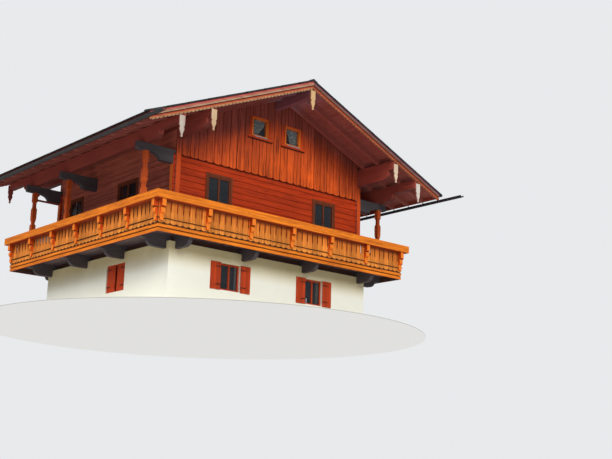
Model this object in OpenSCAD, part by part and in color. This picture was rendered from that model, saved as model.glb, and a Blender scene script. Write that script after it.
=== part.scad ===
// Alpine chalet: rendered ground storey, squared-log upper storey and a balcony all round under a wide roof.
// The origin lies on the ground at the centre of the log walls, and the gable front faces -Y.

/* [Log storey] */
// Width of the log walls across the gable front
wall_w = 8800; // [8400:20:9200]
// Length of the log walls along the ridge
wall_l = 8120; // [7800:20:8600]
// Thickness of the squared logs
log_t = 180; // [140:10:200]
// Height of one log course
course_h = 220; // [210:5:224]
// Bevel along both edges of a log face
log_bevel = 14; // [6:1:20]
// How far crossed log ends stand out past the wall
log_over = 80; // [60:10:160]

/* [Ground storey] */
// Thickness of the rendered masonry
masonry_t = 360; // [300:10:420]
// How far the masonry stands out past the log walls
masonry_out = 160; // [120:10:180]
// Top of the masonry above the ground
masonry_h = 2330; // [2310:5:2340]
// Thickness of the ground floor slab
slab_t = 150; // [100:10:200]

/* [Balcony] */
// Wall face to railing face at the long sides
side_depth = 1273; // [1200:1:1300]
// Wall face to railing face at the gable front
front_depth = 1114; // [1050:1:1200]
// Wall face to railing face at the back
back_depth = 1328; // [1200:1:1400]
// Top of the railing above the deck
rail_h = 1050; // [1000:10:1080]
// Bays between two railing brackets on each side
bays = 6; // [5:1:7]
// Cut-out slots in each bay
slots = 5; // [4:1:6]
// How far the flower trough stands out from the railing
trough_w = 215; // [190:5:240]
// Height of the flower trough
trough_h = 262; // [230:2:270]

/* [Roof] */
// Slope of the roof in degrees
roof_pitch = 22.9; // [22.7:0.1:23.1]
// Top of the roof at the ridge
ridge_z = 8776; // [8760:2:8800]
// Gable wall to the face of the barge boards
gable_over = 2090; // [1900:10:2200]
// Ridge to the eave boards, measured level
eave_x = 6830; // [6800:5:6860]
// How far the roof covering runs on past the eave boards
cover_over = 170; // [140:10:180]
// Depth of the rafters
rafter_d = 240; // [220:10:250]
// Distance of the outer purlins from the ridge
outer_purlin_x = 5545; // [5520:5:5580]
// Rafters on each side of the roof
rafters = 16; // [14:1:18]
// How far the gutters run on past the barge boards
spout = 1050; // [800:10:1200]

/* [Windows] */
// Width of the glass in an attic window
attic_glass_w = 624; // [560:2:660]
// Height of the glass in an attic window
attic_glass_h = 610; // [560:2:640]
// Ridge line to the middle of an attic window
attic_window_x = 790; // [700:10:900]
// Bottom of the attic glass
attic_glass_z = 6943; // [6900:1:6980]
// Width of the shelf under an attic window
attic_sill_w = 1140; // [1000:10:1200]
// Top of the upper windows and balcony doors
lintel_z = 4980; // [4900:10:5020]

/* [Hidden] */
$fn = 48;

// Top of the balcony deck and of the upper floor
deck_z = 2600;
// Log courses in the gable walls, up to the cladding, and in the eaves walls, up to the wall purlin
gable_courses = 13;
side_courses = 17;

half_w = wall_w / 2;
half_l = wall_l / 2;
gable_top = deck_z + gable_courses * course_h;
side_top = deck_z + side_courses * course_h;
bal_x = half_w + side_depth;
bal_y0 = -(half_l + front_depth);
bal_y1 = half_l + back_depth;
bal_yc = (bal_y0 + bal_y1) / 2;
run_side = (bal_y1 - bal_y0) / 2;
rail_top = deck_z + rail_h;
trough_z = rail_top - trough_h;
verge_y = half_l + gable_over;

cover_t = 45;
board_t = 28;
rafter_w = 100;
purlin_w = 200;
roof_build = cover_t + board_t + rafter_d;
wall_purlin_x = half_w - log_t + purlin_w / 2;
purlin_end = verge_y - 44;

// Gap left between long faces that lie on each other
hair = 0.02;

// Height of the roof surface at a distance x from the ridge line
function roof_z(x) = ridge_z - tan(roof_pitch) * abs(x);

// Frames: a flat outline in X and Z drawn out along Y, or one in Y and Z drawn out along X
module along_y(y0, y1) translate([0, y1, 0]) rotate([90, 0, 0]) linear_extrude(y1 - y0) children();
module along_x(x0, x1) translate([x0, 0, 0]) rotate([90, 0, 90]) linear_extrude(x1 - x0) children();
module both_sides() { children(); mirror([1, 0, 0]) children(); }
module both_ends() { children(); mirror([0, 1, 0]) children(); }

// Wall sides are numbered 0 front, 1 right, 2 back, 3 left; local X runs right as seen from outside
side_angle = [0, 90, 180, -90];
module on_wall(side, out = 0)
    rotate([0, 0, side_angle[side]]) translate([0, -(side % 2 == 0 ? half_l : half_w) - out, 0]) children();
rail_middle = [[0, bal_y0, 0], [bal_x, bal_yc, 0], [0, bal_y1, 0], [-bal_x, bal_yc, 0]];
module on_rail(side) translate(rail_middle[side]) rotate([0, 0, side_angle[side]]) children();
function run_half(side) = side % 2 == 0 ? bal_x : run_side;

// One side of a mitred ring round the railing, from inset d0 to d1 outward of the railing face
module ring_side(side, d0, d1, z0, z1)
    on_rail(side) translate([0, 0, z0]) linear_extrude(z1 - z0)
        polygon([[-run_half(side) - d0, -d0], [run_half(side) + d0, -d0],
            [run_half(side) + d1, -d1], [-run_half(side) - d1, -d1]]);

// Openings: side, middle, bottom, width, height
upper_sill = 3680;
upper_h = lintel_z - upper_sill;
upper_windows = [
    [0, -2500, upper_sill, 1000, upper_h], [0, 2500, upper_sill, 1000, upper_h],
    [2, -2500, upper_sill, 1000, upper_h], [2, 2500, upper_sill, 1000, upper_h],
    [3, -2690, upper_sill, 900, upper_h], [1, 2690, upper_sill, 900, upper_h]];
upper_doors = [
    [3, 1060, deck_z, 1200, lintel_z - deck_z], [1, -1060, deck_z, 1200, lintel_z - deck_z]];
ground_sill = 950;
ground_windows = [
    [0, -1950, ground_sill, 860, 950], [0, 1950, ground_sill, 860, 950],
    [2, -1950, ground_sill, 860, 950], [2, 1950, ground_sill, 860, 950],
    [3, 870, ground_sill, 1240, 1010], [1, -870, ground_sill, 1240, 1010]];
door_hole = [1, 1700, 0, 1000, 2080];

module hole(o, depth) translate([o[1] - o[3] / 2, -60, o[2]]) cube([o[3], depth + 120, o[4]]);
module holes(list, side, depth) for (o = list) if (o[0] == side) hole(o, depth);

// Ground storey
module ground_wall(side, half_run)
    color("wheat") on_wall(side, masonry_out) difference() {
        translate([-half_run, 0, 0]) cube([2 * half_run, masonry_t, masonry_h]);
        holes(ground_windows, side, masonry_t);
        if (side == door_hole[0]) hole([side, door_hole[1], slab_t, door_hole[3], door_hole[4]], masonry_t);
    }
module ground_walls_gable() for (side = [0, 2]) ground_wall(side, half_w + masonry_out);
module ground_walls_eaves() for (side = [1, 3]) ground_wall(side, half_l + masonry_out - masonry_t);
inner_x = half_w + masonry_out - masonry_t;
inner_y = half_l + masonry_out - masonry_t;
module ground_floor()
    color("tan") translate([-inner_x, -inner_y, 0]) cube([2 * inner_x, 2 * inner_y, slab_t]);
module upper_floor()
    color("peru") translate([-half_w, -half_l, masonry_h]) cube([wall_w, wall_l, deck_z - masonry_h]);
module attic_floor() color("peru") translate([-half_w + log_t, -half_l + log_t, gable_top - 160])
    cube([wall_w - 2 * log_t, wall_l - 2 * log_t, 160]);

// Log walls: a stack of bevelled courses, lapped half and half where two walls cross
function course_side(from, to, x, dx) =
    [for (i = [from:to - 1], p = [[dx, 0], [0, log_bevel], [0, course_h - log_bevel]])
    [x + p[0], deck_z + i * course_h + p[1]]];
function reversed(list) = [for (i = [len(list) - 1:-1:0]) list[i]];
module log_section(from, to)
    polygon(concat(course_side(from, to, 0, log_bevel), [[log_bevel, deck_z + to * course_h]],
        reversed(concat(course_side(from, to, log_t, -log_bevel),
            [[log_t - log_bevel, deck_z + to * course_h]]))));
// The crossing column at the end of a wall, in the upper or the lower half of each course
module laps(half_run, lift)
    for (i = [0:gable_courses - 1], s = [-1, 1])
        translate([s * (half_run - log_t / 2) - log_t / 2, -1, deck_z + (i + lift / 2) * course_h])
            cube([log_t, log_t + 2, course_h / 2]);
// Crossed courses run past the corner; the courses above them stop at the gable face
module log_wall(side, half_run, n, lift)
    color("chocolate") on_wall(side) difference() {
        union() {
            along_x(-half_run - log_over, half_run + log_over) log_section(0, gable_courses);
            if (n > gable_courses) along_x(-half_run, half_run) log_section(gable_courses, n);
        }
        laps(half_run, lift);
        holes(upper_windows, side, log_t);
        holes(upper_doors, side, log_t);
    }
module log_walls_gable() for (side = [0, 2]) log_wall(side, half_w, gable_courses, 1);
module log_walls_eaves() for (side = [1, 3]) log_wall(side, half_l, side_courses, 0);

// Gable above the logs: a framed wall with vertical boarding that hangs over the top log in scallops
clad_proud = 45;
clad_drop = 32;
clad_w = 338;
clad_from = -4512;
clad_to = clad_from + 27 * clad_w;
clad_scallop = 44;
gable_half = half_w - log_t;
// A row of rounded board ends from x0 to x1, each about w wide and h deep
function scallops(x0, x1, z, w, h, steps) =
    let (n = round((x1 - x0) / w), p = (x1 - x0) / n)
    [for (i = [0:n * steps]) [x0 + i * p / steps, z + h - h * abs(sin(180 * i / steps))]];
module gable(side)
    color("sienna") on_wall(side) difference() {
        union() {
            along_y(0, log_t - 40) polygon([[-gable_half, gable_top], [gable_half, gable_top],
                [gable_half, gable_under(gable_half)], [0, gable_under(0)],
                [-gable_half, gable_under(gable_half)]]);
            along_y(-clad_proud, 0) intersection() {
                union() {
                    translate([-gable_half, 0]) square([2 * gable_half, ridge_z]);
                    translate([-half_w, gable_top]) square([wall_w, ridge_z]);
                }
                polygon(concat(
                    scallops(clad_from, clad_to, gable_top - clad_drop, clad_w, clad_scallop, 6),
                    [[clad_to, side_top], [gable_half, side_top],
                    [gable_half, gable_under(gable_half)], [0, gable_under(0)],
                    [-gable_half, gable_under(gable_half)], [-gable_half, side_top], [clad_from, side_top]]));
            }
        }
        translate([-purlin_w / 2, -100, ridge_purlin_z]) cube([purlin_w, log_t + 200, ridge_z]);
        for (s = [-1, 1]) translate([s * attic_window_x - attic_hole_w / 2, -100, attic_hole_z])
            cube([attic_hole_w, log_t + 200, attic_hole_h]);
    }
function gable_under(x) = roof_z(x) - cover_t - board_t;
module boarded_gables() for (side = [0, 2]) gable(side);

// Purlins with tops planed to the roof slope, under the rafters they carry
purlin_top = roof_build + hair;
ridge_purlin_z = roof_z(0) - roof_build - 340;
outer_purlin_z = roof_z(outer_purlin_x) - roof_build - 300;
module sloped_purlin(x, z)
    along_y(-purlin_end, purlin_end) polygon([[x - purlin_w / 2, z], [x + purlin_w / 2, z],
        [x + purlin_w / 2, roof_z(x + purlin_w / 2) - purlin_top],
        [x - purlin_w / 2, roof_z(x - purlin_w / 2) - purlin_top]]);
module ridge_purlin()
    color("saddlebrown") along_y(-purlin_end, purlin_end) polygon([[-purlin_w / 2, ridge_purlin_z],
        [purlin_w / 2, ridge_purlin_z], [purlin_w / 2, roof_z(purlin_w / 2) - purlin_top],
        [0, roof_z(0) - purlin_top], [-purlin_w / 2, roof_z(purlin_w / 2) - purlin_top]]);
module wall_purlins() color("saddlebrown") both_sides() sloped_purlin(wall_purlin_x, side_top);

// Every outer purlin lies on a shorter saddle log, and short corbel logs stand out of the gable under the
// wall purlins: all with quarter-round ends
console_y = half_l - log_t / 2;
middle_console_y = 1260;
console_top = 5560;
console_low = 5300;
saddle_end = console_y + 900;
saddle_nose = 240;
corbel_low = side_top - 340;
corbel_end = half_l + 1770;
corbel_nose = 270;
function arc(cx, cz, rx, rz, a0, a1, n) = [for (i = [0:n]) let (a = a0 + (a1 - a0) * i / n)
    [cx + rx * cos(a), cz + rz * sin(a)]];
module outer_purlins() color("saddlebrown") both_sides() sloped_purlin(outer_purlin_x, outer_purlin_z);
module saddle_logs()
    color("saddlebrown") both_sides() {
        saddle_h = outer_purlin_z - console_top;
        along_x(outer_purlin_x - purlin_w / 2, outer_purlin_x + purlin_w / 2) polygon(concat(
            arc(saddle_end - saddle_nose, outer_purlin_z, saddle_nose, saddle_h, -90, 0, 8),
            arc(-saddle_end + saddle_nose, outer_purlin_z, saddle_nose, saddle_h, 180, 270, 8)));
        both_ends() along_x(wall_purlin_x - purlin_w / 2, wall_purlin_x + purlin_w / 2)
            polygon(concat([[half_l + clad_proud, side_top], [half_l + clad_proud, corbel_low]],
                arc(corbel_end - corbel_nose, corbel_low + corbel_nose, corbel_nose, corbel_nose, -90, 0, 8),
                [[corbel_end, side_top]]));
    }

// Stacked console logs that carry the outer purlin: the lower one ends in a hollow curve
module console(inner)
    polygon(concat([[half_w, console_top], [half_w, gable_top], [inner, gable_top],
        [inner, console_low - course_h], [5000, console_low - course_h]],
        arc(5420, console_low - course_h, 420, course_h, 180, 90, 8), [[5870, console_low]],
        arc(5870, console_low + 60, 60, 60, -90, 0, 4), [[5930, console_top]]));
module console_beams()
    color("saddlebrown") both_sides() {
        both_ends() along_y(console_y - log_t / 2, console_y + log_t / 2) console(half_w + log_over);
        along_y(middle_console_y - log_t / 2, middle_console_y + log_t / 2) console(half_w);
    }

// Posts: square timbers carved to a vase and a fluted barrel between two necks, the same on all four faces
post_w = 174;
post_foot = 4010;
post_head = 4940;
neck = 58;
barrel_z = 4400;
barrel_top = 4650;
function post_edge(s) = [for (p = concat([[post_w / 2, deck_z], [post_w / 2, post_foot]],
        arc(post_w / 2, post_foot + 50, post_w / 2 - neck, 50, -90, -180, 4), [[neck, post_foot + 110]],
        arc(neck, post_foot + 350, post_w / 2 - neck, 200, -60, 0, 5),
        [[post_w / 2, barrel_z - 25], [post_w / 2 - 14, barrel_z - 12], [post_w / 2, barrel_z],
        [post_w / 2, barrel_top], [post_w / 2 - 14, barrel_top + 12], [post_w / 2 - 14, barrel_top + 25],
        [neck, barrel_top + 80], [neck, post_head - 70]],
        arc(post_w / 2, post_head - 50, post_w / 2 - neck, 50, 180, 90, 4),
        [[post_w / 2, post_head], [post_w / 2, console_low]])) [s * p[0], p[1]]];
module post()
    difference() {
        intersection() {
            along_x(-post_w, post_w) polygon(concat(post_edge(1), reversed(post_edge(-1))));
            along_y(-post_w, post_w) polygon(concat(post_edge(1), reversed(post_edge(-1))));
        }
        for (a = [0:90:270]) rotate([0, 0, a]) translate([post_w / 2 + 6, 0, barrel_z + 30])
            cylinder(r = 30, h = barrel_top - barrel_z - 60, $fn = 32);
    }
module balcony_posts()
    color("darkorange") both_sides() for (y = [-console_y, middle_console_y, console_y])
        translate([outer_purlin_x, y, 0]) post();
tie_w = 64;
tie_drop = 296;
module tie_rails()
    color("firebrick") both_sides()
        translate([half_w + log_over, console_y - tie_w / 2, console_low - tie_drop])
            cube([outer_purlin_x - post_w / 2 - half_w - log_over, tie_w, tie_w]);

// Roof layers, each a slab that follows the slope
module slope_slab(x0, x1, drop, t, y0, y1)
    along_y(y0, y1) polygon([[x0, roof_z(x0) - drop], [x1, roof_z(x1) - drop],
        [x1, roof_z(x1) - drop - t], [x0, roof_z(x0) - drop - t]]);
rafter_y = verge_y - 40 - rafter_w / 2;
rafter_pitch = 2 * rafter_y / (rafters - 1);
function rafter_at(i) = -rafter_y + i * rafter_pitch;
// The rafter tails are cut level
eave_board_t = 25;
tail_x = eave_x - eave_board_t;
tail_z = roof_z(eave_x) - 216;
module rafters_right()
    color("brown") for (i = [0:rafters - 1])
        along_y(rafter_at(i) - rafter_w / 2, rafter_at(i) + rafter_w / 2) polygon([
            [0, gable_under(0)], [tail_x, gable_under(tail_x)], [tail_x, tail_z],
            [(ridge_z - roof_build - tail_z) / tan(roof_pitch), tail_z], [0, roof_z(0) - roof_build]]);
module rafters_left() mirror([1, 0, 0]) rafters_right();
// Boards that close the gaps between the rafters over the wall purlins
module rafter_infill()
    color("brown") both_sides() for (i = [0:rafters - 2]) {
        y0 = max(rafter_at(i) + rafter_w / 2, -half_l);
        y1 = min(rafter_at(i + 1) - rafter_w / 2, half_l);
        if (y1 - y0 > 50) slope_slab(half_w - 60, half_w - 30, cover_t + board_t, rafter_d, y0, y1);
    }
module roof_boards_right()
    color("brown") slope_slab(0, eave_x, cover_t, board_t, -verge_y + 40, verge_y - 40);
module roof_boards_left() mirror([1, 0, 0]) roof_boards_right();
// The covering: a field of tiles between raised verge strips
cover_x = eave_x + cover_over;
tile_drop = 18;
verge_rise = 22;
verge_strip = 110;
cover_y = verge_y + 18;
module roof_cover_right()
    color("dimgray") union() {
        slope_slab(0, cover_x, tile_drop, cover_t - tile_drop - hair, -cover_y, cover_y);
        both_ends() slope_slab(0, cover_x, -verge_rise, cover_t + verge_rise - hair,
            cover_y - verge_strip, cover_y);
    }
module roof_cover_left() mirror([1, 0, 0]) roof_cover_right();
cap_half = 180;
cap_rise = 42;
module cap_slab(low, y0, y1)
    along_y(y0, y1) polygon([[0, roof_z(0) + low], [cap_half, roof_z(cap_half) + low],
        [cap_half, roof_z(cap_half) + cap_rise], [0, roof_z(0) + cap_rise + 10],
        [-cap_half, roof_z(cap_half) + cap_rise], [-cap_half, roof_z(cap_half) + low]]);
module ridge_cap()
    color("dimgray") translate([0, 0, hair]) union() {
        cap_slab(verge_rise, -cover_y, cover_y);
        cap_slab(-tile_drop, verge_strip - cover_y + hair, cover_y - verge_strip - hair);
    }
module eave_boards()
    color("saddlebrown") both_sides() along_y(-verge_y + 40, verge_y - 40) polygon([
        [tail_x, gable_under(tail_x) - hair], [eave_x, gable_under(eave_x) - hair],
        [eave_x, tail_z - 15], [tail_x, tail_z - 15]]);

// Verge: an upper barge board lapped over a lower one with a scalloped edge
barge_depth = 356;
module barge_boards()
    color("rosybrown") both_ends() both_sides() along_y(verge_y - 18, verge_y + 4)
        polygon([[1, roof_z(1) - cover_t], [eave_x, roof_z(eave_x) - cover_t],
            [eave_x, roof_z(eave_x) - 160], [eave_x - 30, roof_z(eave_x - 30) - 205], [1, roof_z(1) - 205]]);
module scalloped_boards()
    color("peru") both_ends() both_sides() along_y(verge_y - 40, verge_y - 18)
        polygon(concat([[eave_x - 40, roof_z(eave_x - 40) - 120], [1, roof_z(1) - 120]],
            [for (p = scallops(1, eave_x - 200, 0, 150, 18, 4)) [p[0], roof_z(p[0]) - barge_depth + p[1]]],
            [for (p = arc(eave_x - 150, 0, 150, 110, -90, 0, 6)) [p[0], roof_z(p[0]) - 246 + p[1]]]));

// Pale boards that hang over the purlin ends: a plain upper part, a notch and a drop that runs to a tip
pendant_w = 212;
pendant_outer_x = outer_purlin_x + 48;
pendant_wall_x = wall_purlin_x + 22;
function pendant_edge(s) = [for (p = concat([[pendant_w / 2, 0], [pendant_w / 2, -345], [78, -362],
    [70, -385], [88, -408]], arc(0, -470, 92, 100, 20, -40, 5), [[40, -620], [24, -650]],
    arc(0, -694, 36, 46, 45, -75, 6))) [s * p[0], p[1]]];
module pendant() polygon(concat(pendant_edge(-1), reversed(pendant_edge(1))));
module purlin_pendants()
    color("antiquewhite") both_ends()
        for (x = [-pendant_outer_x, -pendant_wall_x, 0, pendant_wall_x, pendant_outer_x])
            translate([x, 0, roof_z(abs(x) + pendant_w / 2) - barge_depth])
                along_y(verge_y - 44, verge_y - 4) pendant();

// Half-round gutters in four lengths, hung on hooks under the edge of the covering and run on past the
// verges as spouts
gutter_r = 88;
gutter_t = 5;
gutter_x = cover_x - 10;
gutter_z = 5636;
gutter_lengths = 4;
gutter_joint = 2;
hook_w = 30;
hook_t = 8;
module gutter_section()
    difference() {
        circle(gutter_r);
        circle(gutter_r - gutter_t);
        translate([-gutter_r - 1, 0]) square([2 * gutter_r + 2, gutter_r + 1]);
    }
module gutter_hook(y)
    translate([eave_x, y - hook_w / 2, gutter_z - 20]) {
        cube([hook_t, hook_w, 160]);
        cube([gutter_x - gutter_r - eave_x + 2, hook_w, 12]);
    }
module gutter_piece(y0, y1)
    union() {
        along_y(y0, y1) translate([gutter_x, gutter_z]) gutter_section();
        for (i = [0:rafters - 1]) if (rafter_at(i) > y0 && rafter_at(i) < y1) gutter_hook(rafter_at(i));
    }
module gutters()
    color("slategray") both_sides() for (i = [0:gutter_lengths - 1]) {
        run = 2 * (verge_y + spout) / gutter_lengths;
        y0 = -verge_y - spout + i * run;
        gutter_piece(y0 + gutter_joint / 2, y0 + run - gutter_joint / 2);
    }

// Joists that carry the deck, deepened over the masonry into round-nosed corbels
joist_w = 160;
fascia_in = 52;
module corbel(depth)
    along_x(-joist_w / 2, joist_w / 2) polygon(concat([[0, masonry_h], [0, deck_z - 50],
        [-depth + fascia_in, deck_z - 50], [-depth + fascia_in, masonry_h], [-950, masonry_h]],
        arc(-650, masonry_h, 300, 250, 180, 270, 8),
        [[-masonry_out, masonry_h - 250], [-masonry_out, masonry_h]]));
side_joists = [-console_y, -1320, middle_console_y, console_y];
end_joists = [-4240, -1413, 1413, 4240];
module deck_joists()
    color("saddlebrown") {
        for (y = side_joists) {
            on_wall(3) translate([-y, 0, 0]) corbel(side_depth);
            on_wall(1) translate([y, 0, 0]) corbel(side_depth);
        }
        for (x = end_joists) {
            on_wall(0) translate([x, 0, 0]) corbel(front_depth);
            on_wall(2) translate([x, 0, 0]) corbel(back_depth);
        }
    }
deck_in = 40;
module balcony_deck()
    color("peru") {
        both_sides() translate([half_w, bal_y0 + deck_in, deck_z - 50])
            cube([side_depth - deck_in, 2 * run_side - 2 * deck_in, 50]);
        translate([-half_w + 1, bal_y0 + deck_in, deck_z - 50])
            cube([wall_w - 2, front_depth - deck_in, 50]);
        translate([-half_w + 1, half_l, deck_z - 50]) cube([wall_w - 2, back_depth - deck_in, 50]);
    }
// Two fascia boards round the edge of the deck, with a sunk fillet between them
fascia_top = deck_z - 15;
fillet_z0 = 2436;
fillet_z1 = 2470;
module fascia(side)
    union() {
        ring_side(side, -deck_in, 0, fillet_z1, fascia_top);
        ring_side(side, -fascia_in, -34, fillet_z0, fillet_z1);
        ring_side(side, -fascia_in, -8, masonry_h, fillet_z0);
    }
module fascia_eaves() color("orange") for (side = [1, 3]) fascia(side);
module fascia_gable() color("orange") for (side = [0, 2]) fascia(side);

// Railing: upright boards with round-ended slots, a ledge and a scalloped skirt below it
panel_t = 28;
ledge_z = 2777;
ledge_top = 2803;
ledge_out = 38;
skirt_z = 2634;
skirt_wave = [132, 42];
slot_w = 44;
slot_h = 310;
slot_z = 2901;
bracket_inset = 108;
rail_post = 50;
function bay_w(side) = 2 * (run_half(side) - bracket_inset) / bays;
function bracket_at(side, i) = -run_half(side) + bracket_inset + i * bay_w(side);
module slot(w, h) {
    translate([-w / 2, 0]) square([w, h]);
    for (z = [0, h]) translate([0, z]) circle(w / 2, $fn = 24);
}
module railing(side) {
    cut = side % 2 == 0 ? 0 : panel_t;
    half = run_half(side) - cut;
    color("sandybrown") union() {
        on_rail(side) along_y(0, panel_t) difference() {
            polygon(concat(scallops(-half, half, skirt_z, skirt_wave[0], skirt_wave[1], 4),
                [[half, rail_top], [-half, rail_top]]));
            for (b = [0:bays - 1], s = [0:slots - 1])
                translate([bracket_at(side, b) + bay_w(side) * (s + 1) / (slots + 1), slot_z])
                    slot(slot_w, slot_h);
        }
        ring_side(side, 0, ledge_out, ledge_z, ledge_top);
        on_rail(side) for (i = [0:bays]) translate([bracket_at(side, i) - rail_post / 2, panel_t, deck_z])
            cube([rail_post, rail_post, rail_h - 60]);
    }
}
module railings_gable() for (side = [0, 2]) railing(side);
module railings_eaves() for (side = [1, 3]) railing(side);

// Carved brackets that carry the trough: a square nose, an undercut and a belly that dies into the ledge
bracket_half = 76;
nose_out = 165;
nose_h = 255;
undercut_h = 36;
module bracket()
    along_x(-bracket_half, bracket_half) polygon(concat(
        [[0, trough_z], [-nose_out, trough_z], [-nose_out, trough_z - nose_h + 40]],
        arc(-nose_out + 40, trough_z - nose_h + 40, 40, 40, 180, 270, 4),
        [[-50, trough_z - nose_h], [-50, trough_z - nose_h - undercut_h],
            [-84, trough_z - nose_h - undercut_h]],
        arc(-45, trough_z - 385, 72, 95, 140, 230, 6),
        [[-48, trough_z - 505], [-ledge_out, ledge_top + hair], [0, ledge_top + hair]]));
module trough_brackets()
    color("darkorange") for (side = [0:3], i = [0:bays])
        on_rail(side) translate([bracket_at(side, i), 0, 0]) bracket();

// Flower troughs: open-topped channels of three boards, mitred at the corners
trough_t = 24;
module flower_trough(side)
    color("orange") union() {
        ring_side(side, 0, trough_t, trough_z, rail_top);
        ring_side(side, trough_w - trough_t, trough_w, trough_z, rail_top);
        ring_side(side, trough_t, trough_w - trough_t, trough_z, trough_z + trough_t);
    }
module flower_troughs_gable() for (side = [0, 2]) flower_trough(side);
module flower_troughs_eaves() for (side = [1, 3]) flower_trough(side);

// Windows: a casing on the wall face, a frame in the reveal, a sill and the glass
casing_w = 85;
frame_w = 40;
leaf_w = 60;
attic_hole_w = attic_glass_w + 2 * frame_w;
attic_hole_h = attic_glass_h + 2 * frame_w;
attic_hole_z = attic_glass_z - frame_w;
module rim(w, h, band, y0, y1)
    along_y(y0, y1) difference() {
        translate([-w / 2, 0]) square([w, h]);
        translate([-w / 2 + band, band]) square([w - 2 * band, h - 2 * band]);
    }
// Window in a hole of width w and height h: face is how far the casing's back stands out from the wall line,
// sill the width, depth and height of the board under it
module window_frame(w, h, casing, band, face, sill)
    union() {
        translate([0, 0, -casing]) rim(w + 2 * casing, h + 2 * casing, casing, -face - 26, -face);
        rim(w, h, band, -face - 10, 70);
        translate([-sill[0] / 2, -face - sill[1], -casing - sill[2]]) cube(sill);
    }
module mullion(w, h) translate([-w / 2, 0, leaf_w]) cube([w, 70, h - 2 * leaf_w]);
module glass_pane(w, h, band)
    along_y(24, 40) translate([-w / 2 + band, band]) square([w - 2 * band, h - 2 * band]);
module attic_window_frames()
    color("orange") for (side = [0, 2], s = [-1, 1])
        on_wall(side) translate([s * attic_window_x, 0, attic_hole_z])
            window_frame(attic_hole_w, attic_hole_h, frame_w, frame_w, clad_proud, [attic_sill_w, 70, 112]);
module upper_window_frames()
    color("peru") for (o = upper_windows) on_wall(o[0]) translate([o[1], 0, o[2]]) union() {
        window_frame(o[3], o[4], casing_w, leaf_w, 0, [o[3] + 2 * casing_w + 50, 60, 26]);
        mullion(leaf_w, o[4]);
    }
// Balcony doors: two leaves, each with a wooden panel below its glass
door_post = 90;
door_panel = 700;
module balcony_doors()
    color("peru") for (o = upper_doors) on_wall(o[0]) translate([o[1], 0, o[2]]) union() {
        along_y(-26, 0) difference() {
            translate([-o[3] / 2 - casing_w, 0]) square([o[3] + 2 * casing_w, o[4] + casing_w]);
            translate([-o[3] / 2, -1]) square([o[3], o[4] + 1]);
        }
        rim(o[3], o[4], leaf_w, 0, 70);
        mullion(door_post, o[4]);
        translate([-o[3] / 2 + leaf_w, 20, leaf_w]) cube([o[3] - 2 * leaf_w, 30, door_panel]);
    }
module ground_window_frames()
    color("maroon") for (o = ground_windows) on_wall(o[0], masonry_out) translate([o[1], 90, o[2]]) union() {
        rim(o[3], o[4], leaf_w, 0, 70);
        mullion(leaf_w, o[4]);
    }
// One pane a leaf in every window and balcony door: post is the bar between the leaves, low the pane's foot
module panes(w, h, post, low)
    along_y(24, 40) for (s = [-1, 1])
        translate([s > 0 ? post / 2 : -w / 2 + leaf_w, low])
            square([w / 2 - leaf_w - post / 2, h - leaf_w - low]);
module window_glass()
    color("lightsteelblue") {
        for (side = [0, 2], s = [-1, 1]) on_wall(side) translate([s * attic_window_x, 0, attic_hole_z])
            glass_pane(attic_hole_w, attic_hole_h, frame_w);
        for (o = upper_windows) on_wall(o[0]) translate([o[1], 0, o[2]])
            panes(o[3], o[4], leaf_w, leaf_w);
        for (o = upper_doors) on_wall(o[0]) translate([o[1], 0, o[2]])
            panes(o[3], o[4], door_post, leaf_w + door_panel);
        for (o = ground_windows) on_wall(o[0], masonry_out) translate([o[1], 90, o[2]])
            panes(o[3], o[4], leaf_w, leaf_w);
    }
// Shutters: folded back beside the gable windows, closed over the pair of narrow ones in the eaves walls
shutter_t = 32;
module ground_shutters()
    color("maroon") for (o = ground_windows, s = [-1, 1]) on_wall(o[0], masonry_out)
        if (o[0] % 2 == 0) translate([o[1] + s * (o[3] / 2 + 222) - 215, -shutter_t, o[2] - 10])
            cube([430, shutter_t, o[4] + 20]);
        else translate([o[1] + s * (o[3] / 4 + 28) - 270, 40, o[2] + 6]) cube([540, shutter_t, o[4] - 12]);
module entrance_door()
    color("maroon") on_wall(1, masonry_out) translate([door_hole[1], 100, slab_t]) union() {
        rim(door_hole[3], door_hole[4], 70, 0, 90);
        translate([-door_hole[3] / 2 + 70, 20, 70])
            cube([door_hole[3] - 140, 50, door_hole[4] - 140]);
    }

ground_walls_gable();
ground_walls_eaves();
ground_floor();
upper_floor();
attic_floor();
log_walls_gable();
log_walls_eaves();
boarded_gables();
ridge_purlin();
wall_purlins();
outer_purlins();
saddle_logs();
console_beams();
balcony_posts();
tie_rails();
rafters_left();
rafters_right();
rafter_infill();
roof_boards_left();
roof_boards_right();
roof_cover_left();
roof_cover_right();
ridge_cap();
barge_boards();
scalloped_boards();
purlin_pendants();
eave_boards();
gutters();
deck_joists();
balcony_deck();
fascia_eaves();
fascia_gable();
railings_gable();
railings_eaves();
trough_brackets();
flower_troughs_gable();
flower_troughs_eaves();
attic_window_frames();
upper_window_frames();
balcony_doors();
ground_window_frames();
window_glass();
ground_shutters();
entrance_door();
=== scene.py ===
import math

import bpy
import numpy as np
from mathutils import Matrix, Vector


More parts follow.
